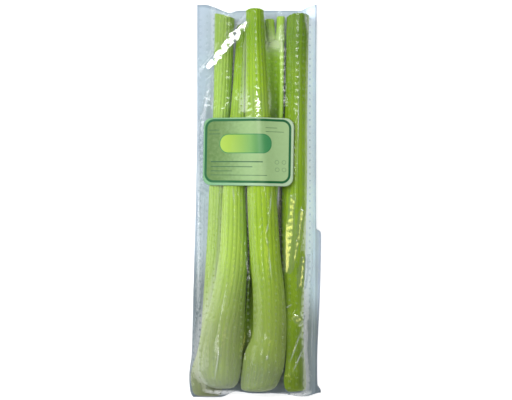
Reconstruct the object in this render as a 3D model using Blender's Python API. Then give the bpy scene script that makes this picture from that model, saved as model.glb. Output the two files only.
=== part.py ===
"""Five cut stalks of celery lying in a clear film bag with a blank label.

The stalks run along Y, cut tops towards +Y. The bag lies on Z = 0 and the centre of its
underside is the origin. All sizes below are in millimetres; the model is in metres.
"""

import math

import bmesh
import bpy
import numpy as np
from mathutils import Vector
from mathutils.bvhtree import BVHTree

MM = 0.001

RIBS = 8  # ribs on a stalk's outer side
RIB_SHOULDER = 0.26  # where a rib's top begins, as a share of its width
INNER_POINTS = 6  # points across the channel
STATIONS = 26  # sections along a stalk
STATION_BUNCHING = 1.7  # above 1, sections lie closer together towards the flared base

# How the section changes from the base to the top, as (distance from the base, value).
WRAP = ((0, 56), (45, 66), (110, 92), (200, 102), (360, 106))  # half of the arc, in degrees
FLESH = ((0, 0.21), (45, 0.19), (110, 0.29), (200, 0.33), (360, 0.34))  # at the crown, of the width
EDGE = ((0, 0.055), (45, 0.055), (110, 0.14), (200, 0.18), (360, 0.19))  # at the edges, of the width
RELIEF = ((0, 0.1), (45, 0.25), (110, 0.45), (360, 0.6))  # height of the ribs, in mm

# outline: (place along Y, left edge, right edge) seen from above, from the base to the top.
# roll: (place along Y, turn about the stalk's length in degrees); 180 has the channel up.
# lift: (place along Y, height of the underside). slant: how far the top cut leans.
STALKS = {
    "stalk_left": dict(
        outline=(
            (-174.4, -51.0, -33.0), (-173.4, -53.6, -31.0), (-170.5, -55.6, -29.6), (-165.0, -56.8, -28.4),
            (-156.5, -57.5, -27.0), (-149.6, -56.4, -26.0), (-137.8, -52.6, -25.6), (-118.0, -48.6, -26.8),
            (-96.0, -47.0, -27.6), (-60.0, -44.6, -26.6), (-30.0, -42.8, -25.4), (9.0, -41.2, -24.6),
            (60.0, -38.4, -23.0), (100.0, -36.9, -20.8), (164.5, -36.2, -17.8),
        ),
        roll=((-174.0, 0.0), (-100.0, -8.0), (0.0, -8.0), (165.0, 4.0)),
        lift=((-174.0, 1.1), (165.0, 1.1)),
        slant=-0.3,
    ),
    "stalk_channel_up": dict(
        outline=(
            (-168.0, -8.0, 9.0), (-166.8, -10.6, 13.0), (-163.0, -12.4, 16.0), (-150.0, -12.8, 18.0),
            (-125.0, -11.0, 17.6), (-93.0, -8.4, 17.0), (-60.0, -6.0, 17.0), (-30.0, -3.6, 18.0),
            (9.0, -0.5, 20.5), (80.0, 4.6, 25.4), (126.0, 6.6, 26.2), (141.0, 7.0, 25.4),
        ),
        roll=((-168.0, 176.0), (-110.0, 172.0), (-60.0, 172.0), (0.0, 175.0), (141.0, 170.0)),
        lift=((-168.0, 1.1), (141.0, 1.1)),
        slant=0.0,
    ),
    "stalk_right": dict(
        outline=(
            (-169.4, 31.0, 43.6), (-168.2, 28.4, 45.4), (-165.0, 26.2, 45.9), (-157.5, 25.2, 45.8),
            (-148.0, 26.6, 45.2), (-136.0, 27.0, 44.2), (-110.0, 25.5, 43.4), (-44.0, 23.0, 45.0),
            (9.0, 23.8, 46.5), (80.0, 26.0, 46.8), (166.5, 28.0, 48.4),
        ),
        roll=((-170.0, 38.0), (-110.0, 40.0), (0.0, 32.0), (166.0, 22.0)),
        lift=((-170.0, 1.1), (166.0, 1.1)),
        slant=0.0,
    ),
    "stalk_front_left": dict(
        outline=(
            (-166.3, -35.0, -21.5), (-165.2, -39.4, -18.8), (-163.2, -43.6, -16.6), (-160.4, -46.4, -14.8),
            (-156.0, -49.2, -13.4), (-147.6, -51.0, -12.2), (-133.6, -50.6, -10.8), (-122.0, -49.2, -9.8),
            (-110.0, -46.4, -9.0), (-88.0, -39.4, -8.0), (-44.0, -31.5, -6.2), (9.0, -29.0, -7.8),
            (80.0, -22.0, -4.6), (158.0, -16.0, -1.6),
        ),
        roll=((-166.0, -2.0), (-120.0, -1.0), (-60.0, 12.0), (40.0, 18.0), (105.0, 4.0), (158.0, 0.0)),
        lift=((-166.0, 11.5), (-100.0, 10.8), (0.0, 7.2), (50.0, 6.0), (100.0, 1.6), (158.0, 1.1)),
        slant=0.1,
    ),
    "stalk_front_middle": dict(
        outline=(
            (-169.0, -7.0, 8.0), (-168.2, -10.0, 12.6), (-166.4, -12.2, 16.8), (-163.6, -12.8, 19.6),
            (-158.0, -12.5, 22.2), (-149.6, -11.5, 25.2), (-140.7, -10.6, 26.6), (-133.0, -8.6, 27.2),
            (-127.0, -6.0, 27.6), (-121.0, -3.2, 27.8), (-110.0, -1.8, 28.0), (-88.0, -2.0, 27.0),
            (-44.0, -5.0, 22.4), (9.0, -7.2, 18.8), (80.0, -8.6, 13.6), (125.0, -8.2, 10.2), (170.0, -8.2, 8.0),
        ),
        roll=((-168.0, -2.0), (-90.0, -6.0), (0.0, -4.0), (80.0, 0.0), (170.0, 4.0)),
        lift=((-168.0, 10.5), (-120.0, 14.0), (-40.0, 15.2), (60.0, 15.0), (115.0, 14.0), (170.0, 12.5)),
        slant=0.0,
    ),
}

# The stubs of the leaf stems above the joint of the stalk that lies channel up:
# base and tip as (X, Y, Z), and the diameter.
STUBS = {
    "left": ((9.0, 134.0, 7.6), (4.6, 160.0, 6.6), 6.4),
    "middle": ((15.6, 131.0, 6.0), (13.6, 162.0, 5.6), 7.6),
    "right": ((21.6, 134.0, 8.6), (23.6, 164.0, 7.6), 7.0),
}
STUB_SIDES = 10
STUB_SWELLING = 1.18  # how much thicker a stub is at its foot

# The bag's cavity seen from above: (place along Y, left side, right side), (X, closed end),
# (X, mouth), and the width of the strip outside its right side as (place along Y, width).
BAG_SIDES = (
    (-175.4, -55.6, 53.4), (-171.0, -57.8, 54.0), (-165.0, -58.6, 53.6), (-156.0, -58.9, 53.4),
    (-148.0, -58.2, 53.4), (-138.0, -56.8, 53.6), (-79.0, -55.2, 54.6), (0.0, -53.0, 53.8), (80.0, -51.8, 53.8),
    (173.6, -51.8, 54.2),
)
BAG_END = (
    (-56.0, -175.4), (-31.0, -175.4), (-17.0, -170.6), (0.0, -172.4), (17.0, -172.4), (44.0, -175.0), (57.0, -171.6),
)
BAG_MOUTH = (
    (-52.0, 175.6), (-45.0, 176.0), (-38.0, 174.2), (-29.5, 170.6), (-22.7, 168.4), (-15.0, 170.4), (41.0, 170.4),
    (47.0, 173.4), (54.0, 175.8),
)
SEAM_STRIP = (
    (-175.4, 5.6), (-170.0, 4.4), (-165.0, 2.4), (-138.0, 2.2), (-79.0, 3.6), (-28.0, 4.8), (-26.0, 1.0), (173.6, 1.0),
)
FILM = 0.6  # thickness of the film, far thicker than the real one
SLACK = 1.2  # the film's least distance from the stalks
BASE_ROUNDING = 4.0  # length of a stalk's rounded end, which the film doesn't follow
END_SLACK = 2.0  # how far the film stays up past the end of a stalk
END_SLOPE = 8.0  # how steeply it comes down from there
PAST_MOUTH = 3.0  # how far the cutter for the cavity runs past the mouth
FLAT = 1.0  # height of the cavity at the sides, where front and back of the bag meet
END_BLEND = 12.0  # how far the shape of the ends reaches into the bag
BAG_COLUMNS = 32
BAG_ROWS = 30
BAG_BUNCHING = 1.6  # above 1, rows lie closer together towards the closed end
DRAPE = 22.0  # the film bends no tighter than this where it dips between stalks
GRID = 1.0  # spacing at which the film's height is worked out
GRID_REACH = 85.0  # how far to each side

LABEL_SIZE = (80.0, 60.0)
LABEL_CENTRE = (-6.0, 43.4)
LABEL_TURN = -1.0  # degrees
LABEL_CORNER = 6.0
LABEL_THICKNESS = 0.5
LABEL_GAP = 0.7
LABEL_CELLS = (24, 10)


def smooth(at, keys, column=1):
    """A smooth curve through keys, read at one place: a cubic that doesn't overshoot them."""
    xs = [key[0] for key in keys]
    ys = [key[column] for key in keys]
    if at <= xs[0]:
        return ys[0]
    if at >= xs[-1]:
        return ys[-1]
    rises = [(ys[i + 1] - ys[i]) / (xs[i + 1] - xs[i]) for i in range(len(xs) - 1)]
    slopes = [rises[0]]
    for before, after in zip(rises, rises[1:]):
        level = before * after <= 0
        slopes.append(0.0 if level else 2 * before * after / (before + after))
    slopes.append(rises[-1])
    i = max(k for k in range(len(rises)) if xs[k] <= at)
    span = xs[i + 1] - xs[i]
    t = (at - xs[i]) / span
    return (
        (1 + 2 * t) * (1 - t) ** 2 * ys[i]
        + t * (1 - t) ** 2 * span * slopes[i]
        + t * t * (3 - 2 * t) * ys[i + 1]
        + t * t * (t - 1) * span * slopes[i + 1]
    )


def section(along, width, roll):
    """The section of a stalk at a distance from its base, as points (across, up) round its outline.

    It is a thick arc with ribs on its outer side and a channel on its inner side. It is scaled
    so that it is as wide as asked once it is rolled.
    """
    wrap = math.radians(smooth(along, WRAP))
    flesh = smooth(along, FLESH)
    edge = smooth(along, EDGE)
    relief = smooth(along, RELIEF) / width
    radius = 0.5 / math.sin(min(wrap, math.pi / 2))

    def outer(angle, inset):
        return ((radius - inset) * math.sin(angle), (radius - inset) * math.cos(angle))

    points = []
    for i in range(RIBS):
        for place, inset in ((0.0, relief), (RIB_SHOULDER, 0.0), (1 - RIB_SHOULDER, 0.0)):
            points.append(outer(wrap * (2 * (i + place) / RIBS - 1), inset))
    points.append(outer(wrap, relief))
    tip = wrap + edge / 2 / radius
    points.append(outer(tip, edge / 2))
    for i in range(INNER_POINTS + 1):
        angle = wrap * (1 - 2 * i / INNER_POINTS)
        inset = edge + (flesh - edge) * math.cos(angle / wrap * math.pi / 2) ** 2
        points.append(outer(angle, inset))
    points.append(outer(-tip, edge / 2))

    turn = math.radians(roll)
    turned = np.array(points) @ np.array(
        [[math.cos(turn), -math.sin(turn)], [math.sin(turn), math.cos(turn)]]
    )
    turned *= width / (turned[:, 0].max() - turned[:, 0].min())
    return turned - [turned[:, 0].min(), turned[:, 1].min()]


def section_at(stalk, y):
    """The stalk's section at a place along Y, as points (X, Z)."""
    left, right = smooth(y, stalk["outline"], 1), smooth(y, stalk["outline"], 2)
    along = y - stalk["outline"][0][0]
    return section(along, right - left, smooth(y, stalk["roll"])) + [left, smooth(y, stalk["lift"])]


def new_object(name, bm, material, collection, crease=50.0):
    bmesh.ops.recalc_face_normals(bm, faces=bm.faces)
    mesh = bpy.data.meshes.new(name)
    bm.to_mesh(mesh)
    bm.free()
    mesh.shade_smooth()
    mesh.set_sharp_from_angle(angle=math.radians(crease))
    mesh.materials.append(material)
    made = bpy.data.objects.new(name, mesh)
    collection.objects.link(made)
    return made


def lofted(rings):
    """A closed mesh through rings of points that all have the same count."""
    bm = bmesh.new()
    loops = [[bm.verts.new(Vector(point) * MM) for point in ring] for ring in rings]
    count = len(loops[0])
    for lower, upper in zip(loops, loops[1:]):
        for i in range(count):
            j = (i + 1) % count
            bm.faces.new((lower[i], lower[j], upper[j], upper[i]))
    bm.faces.new(loops[0])
    bm.faces.new(loops[-1])
    return bm


def build_stalk(name, stalk, material, collection):
    start, end = stalk["outline"][0][0], stalk["outline"][-1][0]
    rings = []
    for i in range(STATIONS):
        share = i / (STATIONS - 1)
        y = start + (end - start) * share**STATION_BUNCHING
        points = section_at(stalk, y)
        middle = points[:, 0].mean()
        lean = stalk["slant"] * share**8
        rings.append([(x, y + lean * (x - middle), z) for x, z in points])
    return new_object(name, lofted(rings), material, collection)


def build_stub(name, foot, tip, diameter, material, collection):
    """A leaf stem's stub: a round tapered piece, swollen at its foot and cut off flat."""
    foot, tip = Vector(foot), Vector(tip)
    rings = []
    for share, size in ((0, 0.8), (0.18, STUB_SWELLING), (0.4, 1.0), (1, 0.9)):
        centre = foot.lerp(tip, share)
        ring = []
        for i in range(STUB_SIDES):
            angle = 2 * math.pi * i / STUB_SIDES
            radius = diameter / 2 * size
            ring.append((centre.x + radius * math.cos(angle), centre.y, centre.z + radius * math.sin(angle)))
        rings.append(ring)
    return new_object(name, lofted(rings), material, collection)


def join_into(target, cutters):
    """Fuses the cutter collection's objects into the target, and removes them."""
    union = target.modifiers.new("stubs", "BOOLEAN")
    union.operation = "UNION"
    union.operand_type = "COLLECTION"
    union.collection = cutters
    fused = bpy.data.meshes.new_from_object(target.evaluated_get(bpy.context.evaluated_depsgraph_get()))
    target.modifiers.clear()
    target.data = fused
    for piece in list(cutters.objects):
        bpy.data.objects.remove(piece)


def skyline(y, xs, grow):
    """The least height of the film over the stalks at each X, at a place along Y.

    Past a stalk's base it falls off steeply, as the film does there, and it doesn't follow the
    rounding of the base. Past the cut top it stays up, since the bag is open there. It is
    below 0 where there is no stalk.
    """
    reach = SLACK + grow
    highest = np.full(len(xs), -1.0)
    for stalk in STALKS.values():
        start, end = stalk["outline"][0][0], stalk["outline"][-1][0]
        drop = END_SLOPE * max(start - y - END_SLACK - grow, 0.0)
        points = section_at(stalk, min(max(y, start + BASE_ROUNDING), end))
        for (x0, z0), (x1, z1) in zip(points, np.roll(points, -1, axis=0)):
            if x0 > x1:
                x0, z0, x1, z1 = x1, z1, x0, z0
            over = (xs >= x0 - reach) & (xs <= x1 + reach)
            slope = (z1 - z0) / max(x1 - x0, 0.01)
            height = z0 + slope * (np.clip(xs[over], x0, x1) - x0)
            highest[over] = np.maximum(highest[over], height + reach - drop)
    return highest


def draped(xs, heights, radius):
    """The heights as a film takes them up that bends no tighter than a radius between stalks."""
    apart = np.abs(xs[:, None] - xs[None, :])
    near = apart < radius
    arc = np.sqrt(np.where(near, radius**2 - apart**2, 0.0))
    rolling = np.where(near, heights[None, :] + arc, -np.inf).max(axis=1)
    return np.where(near, rolling[None, :] - arc, np.inf).min(axis=1)


def film_heights(xs, ys, grow, edge):
    """The film's height over a grid, for a film that lies grow further out than the cavity."""
    return np.array([draped(xs, np.maximum(skyline(y, xs, grow), edge), DRAPE - grow) for y in ys])


def sampled(x, y, xs, ys, heights):
    """The height at (x, y) between the points of a grid."""
    u = min(max((x - xs[0]) / GRID, 0.0), len(xs) - 1.001)
    v = min(max((y - ys[0]) / GRID, 0.0), len(ys) - 1.001)
    i, j = int(u), int(v)
    u, v = u - i, v - j
    near = heights[j, i] * (1 - u) + heights[j, i + 1] * u
    far = heights[j + 1, i] * (1 - u) + heights[j + 1, i + 1] * u
    return near * (1 - v) + far * v


def build_film_body(name, grow, floor, edge, past_mouth, material, collection):
    """A closed body under the film: its top is the film and its underside is flat."""
    start = BAG_SIDES[0][0] - grow
    end = BAG_SIDES[-1][0] + past_mouth
    xs = np.arange(-GRID_REACH, GRID_REACH + GRID, GRID)
    ys = np.arange(start - 1, end + 6, GRID)
    heights = film_heights(xs, ys, grow, edge)
    bm = bmesh.new()
    rows = []
    for j in range(BAG_ROWS):
        level = start + (end - start) * (j / (BAG_ROWS - 1)) ** BAG_BUNCHING
        left = smooth(level, BAG_SIDES, 1) - grow
        right = smooth(level, BAG_SIDES, 2) + grow
        across = list(np.linspace(left, right, BAG_COLUMNS))
        if grow:
            across.append(right + smooth(level, SEAM_STRIP))
        row = []
        for x in across:
            y = level
            y += max(0.0, 1 - (level - start) / END_BLEND) * (smooth(x, BAG_END) - BAG_END[0][1])
            y += max(0.0, 1 - (end - level) / END_BLEND) * (smooth(x, BAG_MOUTH) - BAG_SIDES[-1][0])
            z = edge if x in (left, across[BAG_COLUMNS - 1], across[-1]) else sampled(x, y, xs, ys, heights)
            row.append(bm.verts.new(Vector((x, y, z)) * MM))
        rows.append(row)
    for front, back in zip(rows, rows[1:]):
        for i in range(len(front) - 1):
            bm.faces.new((front[i], front[i + 1], back[i + 1], back[i]))
    rim = bmesh.ops.extrude_edge_only(bm, edges=[line for line in bm.edges if line.is_boundary])
    lowered = [item for item in rim["geom"] if isinstance(item, bmesh.types.BMVert)]
    for vert in lowered:
        vert.co.z = floor * MM
    under = [item for item in rim["geom"] if isinstance(item, bmesh.types.BMEdge)]
    bmesh.ops.contextual_create(bm, geom=under)
    return new_object(name, bm, material, collection)


def build_bag(material, collection, cutters):
    bag = build_film_body("bag", FILM, 0.0, FILM + FLAT + FILM, 0.0, material, collection)
    cavity = build_film_body("bag_cavity", 0.0, FILM, FILM + FLAT, PAST_MOUTH, material, cutters)
    cavity.hide_render = True
    cavity.display_type = "WIRE"
    cut = bag.modifiers.new("cavity", "BOOLEAN")
    cut.operation = "DIFFERENCE"
    cut.object = cavity
    return bag


def build_label(bag, material, collection):
    """A sheet with rounded corners that follows the top of the film."""
    evaluated = bag.evaluated_get(bpy.context.evaluated_depsgraph_get())
    film = BVHTree.FromPolygons(
        [vert.co for vert in evaluated.data.vertices], [face.vertices for face in evaluated.data.polygons]
    )
    half = Vector(LABEL_SIZE) / 2
    turn = math.radians(LABEL_TURN)
    bm = bmesh.new()
    layers = []
    for level in (LABEL_GAP, LABEL_GAP + LABEL_THICKNESS):
        layer = []
        for j in range(LABEL_CELLS[1] + 1):
            row = []
            for i in range(LABEL_CELLS[0] + 1):
                point = Vector((label_line(i, LABEL_CELLS[0], half.x), label_line(j, LABEL_CELLS[1], half.y)))
                corner = Vector((
                    math.copysign(half.x - LABEL_CORNER, point.x), math.copysign(half.y - LABEL_CORNER, point.y)
                ))
                out = point - corner
                if out.x * corner.x > 0 and out.y * corner.y > 0:
                    reach = max(abs(out.x), abs(out.y))
                    point = corner + out.normalized() * reach
                x = LABEL_CENTRE[0] + point.x * math.cos(turn) - point.y * math.sin(turn)
                y = LABEL_CENTRE[1] + point.x * math.sin(turn) + point.y * math.cos(turn)
                hit = film.ray_cast(Vector((x, y, 100)) * MM, Vector((0, 0, -1)))[0]
                row.append(bm.verts.new(hit + Vector((0, 0, level * MM))))
            layer.append(row)
        layers.append(layer)
        for front, back in zip(layer, layer[1:]):
            for i in range(LABEL_CELLS[0]):
                bm.faces.new((front[i], front[i + 1], back[i + 1], back[i]))
    below, above = (outer_loop(layer) for layer in layers)
    for i in range(len(below)):
        j = (i + 1) % len(below)
        bm.faces.new((below[i], below[j], above[j], above[i]))
    return new_object("label", bm, material, collection)


def label_line(index, cells, half):
    """The place of a grid line across the label: a fine pair at each corner, even ones between."""
    steps = [-half, -half + LABEL_CORNER * 0.4, -half + LABEL_CORNER]
    inner = cells - 4
    places = steps + [(-1 + 2 * (k + 1) / inner) * (half - LABEL_CORNER) for k in range(inner - 1)]
    places += [-step for step in reversed(steps)]
    return places[index]


def outer_loop(layer):
    """The vertices round the border of a grid, in order."""
    return (
        layer[0]
        + [row[-1] for row in layer[1:-1]]
        + layer[-1][::-1]
        + [row[0] for row in reversed(layer[1:-1])]
    )


def finish(name, colour, roughness, alpha=1.0):
    material = bpy.data.materials.new(name)
    material.use_nodes = True
    shader = material.node_tree.nodes["Principled BSDF"]
    shader.inputs["Base Color"].default_value = (*colour, 1.0)
    shader.inputs["Roughness"].default_value = roughness
    shader.inputs["Metallic"].default_value = 0.0
    shader.inputs["Alpha"].default_value = alpha
    return material


def new_collection(name):
    made = bpy.data.collections.new(name)
    bpy.context.scene.collection.children.link(made)
    return made


def main():
    for old in list(bpy.data.objects):
        bpy.data.objects.remove(old)
    celery = new_collection("celery_bag")
    cutters = new_collection("cutters")
    green = finish("celery", (0.33, 0.50, 0.12), 0.42)
    clear = finish("clear_film", (0.78, 0.84, 0.88), 0.15, 0.3)
    paper = finish("label", (0.45, 0.62, 0.27), 0.4)

    stalks = {name: build_stalk(name, stalk, green, celery) for name, stalk in STALKS.items()}
    for name, (foot, tip, diameter) in STUBS.items():
        build_stub(f"stub_{name}", foot, tip, diameter, green, cutters)
    join_into(stalks["stalk_channel_up"], cutters)

    bag = build_bag(clear, celery, cutters)
    build_label(bag, paper, celery)


main()
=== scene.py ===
"""The looks of five cut celery stalks in a clear punched film bag with a blank label.

Sizes are in millimetres unless a name says otherwise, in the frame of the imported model: the
stalks run along Y with their cut tops towards +Y, and the bag lies on Z = 0.
"""

import math

import bmesh
import bpy
import numpy as np
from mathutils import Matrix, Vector, noise


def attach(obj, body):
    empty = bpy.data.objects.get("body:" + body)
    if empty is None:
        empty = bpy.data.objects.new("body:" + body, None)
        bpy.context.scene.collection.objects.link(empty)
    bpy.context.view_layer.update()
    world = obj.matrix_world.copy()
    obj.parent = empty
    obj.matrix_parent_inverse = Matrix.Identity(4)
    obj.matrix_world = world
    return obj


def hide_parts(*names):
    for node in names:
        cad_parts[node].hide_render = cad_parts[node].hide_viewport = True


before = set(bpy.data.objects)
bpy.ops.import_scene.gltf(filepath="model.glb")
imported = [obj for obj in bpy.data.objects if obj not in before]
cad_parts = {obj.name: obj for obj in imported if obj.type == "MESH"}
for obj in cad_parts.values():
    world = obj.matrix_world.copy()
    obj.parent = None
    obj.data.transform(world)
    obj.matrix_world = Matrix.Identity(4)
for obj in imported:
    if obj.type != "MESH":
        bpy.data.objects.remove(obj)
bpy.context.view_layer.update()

MM = 0.001
BODY = "root"

# How a stalk's section changes from its base to its top, as (distance from the base, value).
WRAP = ((0, 56), (45, 66), (110, 92), (200, 102), (360, 106))  # half of the arc, in degrees
FLESH = ((0, 0.21), (45, 0.19), (110, 0.29), (200, 0.33), (360, 0.34))  # at the crown, of the width
EDGE = ((0, 0.055), (45, 0.055), (110, 0.14), (200, 0.18), (360, 0.19))  # at the edges, of the width
RIB_DEPTH = ((0, 0.05), (40, 0.13), (90, 0.3), (160, 0.5), (360, 0.6))  # of the grooves between ribs

# outline: (place along Y, left edge, right edge) seen from above, from the base to the top.
# roll: (place along Y, turn about the stalk's length in degrees); 180 has the channel up.
# lift: (place along Y, height of the underside). slant: how far the top cut leans.
# joint: (place along Y, how far the channel is filled with pale flesh), where leaf stems branch off.
# top_round: length over which such a joint is rounded off at its end.
# top_arc: how far the sides of the top cut lie behind its crown, where not as usual.
# skin: (share of the length, sRGB colour) from the base to the top. The colours near the base are
# darker and greyer: partly the stalks' own greyish base, partly painted shade where the light falls off
# towards the bottom.
STALKS = {
    "stalk_left": dict(
        outline=(
            (-174.4, -51.0, -33.0), (-173.4, -53.6, -31.0), (-170.5, -55.6, -29.6), (-165.0, -56.8, -28.4),
            (-156.5, -57.5, -27.0), (-149.6, -56.4, -26.0), (-137.8, -52.6, -25.6), (-118.0, -48.6, -26.8),
            (-96.0, -47.0, -27.6), (-60.0, -44.6, -26.6), (-30.0, -42.8, -25.4), (9.0, -41.2, -24.6),
            (60.0, -38.4, -23.0), (100.0, -36.9, -20.8), (165.0, -36.2, -17.8),
        ),
        roll=((-174.0, 0.0), (-100.0, -8.0), (0.0, -8.0), (165.0, 4.0)),
        lift=((-174.0, 1.1), (165.0, 1.1)),
        slant=-0.26,
        top_arc=0.2,
        ribs=10,
        seed=1,
        skin=(
            (0.0, (112, 113, 98)), (0.12, (136, 148, 92)), (0.4, (160, 190, 76)), (0.75, (163, 199, 92)),
            (1.0, (146, 176, 78)),
        ),
    ),
    "stalk_channel_up": dict(
        outline=(
            (-168.0, -8.0, 9.0), (-166.8, -10.6, 13.0), (-163.0, -12.4, 16.0), (-150.0, -12.8, 18.0),
            (-125.0, -11.0, 17.6), (-93.0, -8.4, 17.0), (-60.0, -6.0, 17.0), (-30.0, -3.6, 18.0),
            (9.0, -0.5, 20.5), (80.0, 4.6, 25.4), (126.0, 6.6, 26.2), (135.0, 6.8, 26.3), (140.0, 8.0, 26.2),
            (143.4, 10.0, 25.4), (145.4, 12.8, 23.4),
        ),
        roll=((-168.0, 176.0), (-110.0, 172.0), (-60.0, 172.0), (0.0, 175.0), (141.0, 170.0)),
        lift=((-168.0, 1.1), (141.0, 1.1)),
        slant=0.0,
        joint=((-168.0, 0.0), (124.0, 0.0), (131.0, 0.3), (137.0, 0.95), (141.0, 1.0)),
        top_round=5.0,
        ribs=10,
        seed=2,
        skin=((0.0, (170, 180, 110)), (0.2, (118, 152, 20)), (0.6, (160, 210, 24)), (1.0, (170, 210, 60))),
    ),
    "stalk_right": dict(
        outline=(
            (-169.4, 31.0, 43.6), (-168.2, 28.4, 45.4), (-165.0, 26.2, 45.9), (-157.5, 25.2, 45.8),
            (-148.0, 26.6, 45.2), (-136.0, 27.0, 44.2), (-110.0, 25.5, 43.4), (-44.0, 23.0, 45.0),
            (9.0, 23.8, 46.5), (80.0, 26.0, 46.8), (166.5, 28.0, 48.4),
        ),
        roll=((-170.0, 38.0), (-110.0, 40.0), (0.0, 32.0), (166.0, 22.0)),
        lift=((-170.0, 1.1), (166.0, 1.1)),
        slant=0.0,
        ribs=9,
        seed=3,
        skin=((0.0, (90, 113, 4)), (0.2, (118, 149, 0)), (0.55, (134, 171, 8)), (1.0, (88, 126, 0))),
    ),
    "stalk_front_left": dict(
        outline=(
            (-166.3, -35.0, -21.5), (-165.2, -39.4, -18.8), (-163.2, -43.6, -16.6), (-160.4, -46.4, -14.8),
            (-156.0, -49.2, -13.4), (-147.6, -51.0, -12.2), (-133.6, -50.6, -10.8), (-122.0, -49.2, -9.8),
            (-110.0, -46.4, -9.0), (-88.0, -39.4, -8.0), (-44.0, -31.5, -6.2), (9.0, -29.0, -7.8),
            (80.0, -22.0, -4.6), (158.0, -16.0, -1.6),
        ),
        roll=((-166.0, -2.0), (-120.0, -1.0), (-60.0, 12.0), (40.0, 18.0), (105.0, 4.0), (158.0, 0.0)),
        lift=((-166.0, 11.5), (-100.0, 10.8), (0.0, 7.2), (50.0, 6.0), (100.0, 1.6), (158.0, 1.1)),
        slant=0.1,
        ribs=10,
        seed=4,
        skin=(
            (0.0, (150, 158, 134)), (0.14, (145, 159, 100)), (0.4, (168, 199, 78)), (0.78, (161, 199, 52)),
            (1.0, (112, 150, 4)),
        ),
    ),
    "stalk_front_middle": dict(
        outline=(
            (-169.0, -7.0, 8.0), (-168.2, -10.0, 12.6), (-166.4, -12.2, 16.8), (-163.6, -12.8, 19.6),
            (-158.0, -12.5, 22.2), (-149.6, -11.5, 25.2), (-140.7, -10.6, 26.6), (-133.0, -8.6, 27.2),
            (-127.0, -6.0, 27.6), (-121.0, -3.2, 27.8), (-110.0, -1.8, 28.0), (-88.0, -2.0, 27.0),
            (-44.0, -5.0, 22.4), (9.0, -7.2, 18.8), (80.0, -8.6, 13.6), (125.0, -8.2, 10.2),
            (170.0, -8.2, 8.0),
        ),
        roll=((-168.0, -2.0), (-90.0, -6.0), (0.0, -4.0), (80.0, 0.0), (170.0, 4.0)),
        lift=((-168.0, 10.5), (-120.0, 14.0), (-40.0, 15.2), (60.0, 15.0), (115.0, 14.0), (170.0, 12.5)),
        slant=0.0,
        ribs=10,
        seed=5,
        skin=(
            (0.0, (136, 147, 112)), (0.14, (130, 147, 74)), (0.4, (154, 188, 34)), (0.75, (158, 196, 32)),
            (1.0, (118, 158, 0)),
        ),
    ),
}
ACROSS = 96  # points across the outer side, and as many across the channel
EDGE_POINTS = 5  # points round each edge, between the two
STATIONS = 200  # sections along a stalk
END_BUNCHING = 0.72  # above 0, sections lie closer together at both ends
BASE_ROUND = 3.2  # length over which the base thins to a rounded end
TOP_ROUND = 0.35  # the same at the crisp top cut
TOP_ARC = 1.5  # how far the sides of a top cut lie behind its crown
LEAN_POWER = 8  # how suddenly the sections lean towards the top cut
WAVER = 0.35  # how far the skin wanders from an even surface
WAVER_LENGTH = 22.0
NO_JOINT = ((0.0, 0.0), (1.0, 0.0))
JOINT_BULGE = 0.06  # of the width
EDGE_PALE = 0.2  # how pale the channel's edges are, next to a joint's flesh
EDGE_PALE_START = ((0.3, 0.0), (0.6, 1.0))  # (share of the length, share of that paleness)
RIB_WAVER = 0.16  # how far a rib wanders, as a share of half the width
RIB_CREST = 0.55  # below 1, ribs are broad and the grooves between them narrow
RIB_BENDS = (1.6, 5.0)  # how often ribs bend, across and along

# The stubs of the leaf stems above the joint of the stalk that lies channel up:
# foot and tip as (X, Y, Z), and the diameter.
STUBS = {
    "left": ((10.4, 134.0, 6.6), (5.6, 160.0, 6.4), 6.4),
    "middle": ((15.0, 134.0, 6.2), (13.0, 162.0, 6.6), 8.4),
    "right": ((21.8, 132.0, 7.8), (23.0, 164.2, 8.0), 7.4),
}
STUB_SIDES = 60
STUB_STATIONS = 44
STUB_RIBS = 9
STUB_RIB_DEPTH = 0.42
STUB_RIB_START = ((0.3, 0.0), (0.75, 1.0))  # (share of the length, share of the depth)
STUB_SKIN = 0.86  # the share of a stalk's length whose colour a stub's foot has
STUB_SHAPE = (  # (share of the length, share of the diameter)
    (0.0, 0.5), (0.2, 0.98), (0.37, 1.3), (0.6, 1.0), (0.8, 0.98), (0.95, 1.0), (1.0, 0.86),
)

# The bag seen from above: (place along Y, left side, right side), (X, closed end), (X, mouth),
# and the width of the strip outside its right side as (place along Y, width).
BAG_SIDES = (
    (-175.4, -55.6, 53.4), (-171.0, -57.8, 54.0), (-165.0, -58.6, 53.6), (-156.0, -58.9, 53.4),
    (-148.0, -58.2, 53.4), (-138.0, -56.8, 53.6), (-79.0, -55.2, 54.6), (0.0, -53.0, 53.8),
    (80.0, -51.8, 53.8), (173.6, -51.8, 54.2),
)
BAG_END = (
    (-56.0, -175.4), (-31.0, -175.4), (-17.0, -170.6), (0.0, -172.4), (17.0, -172.4), (44.0, -175.0),
    (57.0, -171.6),
)
BAG_MOUTH = (
    (-52.0, 175.5), (-45.0, 175.8), (-38.0, 174.1), (-29.5, 170.6), (-22.7, 168.4), (-15.0, 170.4),
    (41.0, 170.4), (47.0, 173.4), (54.0, 175.8),
)
SEAM_STRIP = (
    (-175.4, 5.6), (-170.0, 4.4), (-165.0, 2.4), (-138.0, 2.2), (-79.0, 3.6), (-27.4, 5.0),
    (-26.6, 1.0), (173.6, 1.0),
)
END_BLEND = 12.0  # how far the shape of the ends reaches into the bag
FILM = 0.12  # thickness of each sheet of film
FILM_STEP = 1.0  # size of the front sheet's squares
BACK_STEP = 2.5
CLEARANCE = 0.9  # the film's least distance from the stalks
END_SLACK = 2.0  # how far the film stays up past the end of a stalk
END_SLOPE = 7.0  # how steeply it comes down from there
BASE_ROUNDING = 4.0  # length of a stalk's rounded end, which the film doesn't follow
DRAPE = 17.0  # the film bends no tighter than this where it dips between stalks
MARGIN_HEIGHT = 0.9  # of the front sheet at the sides, where it meets the back sheet
SMOOTHING = 1.6  # rounding of the film's shape along and across
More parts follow.
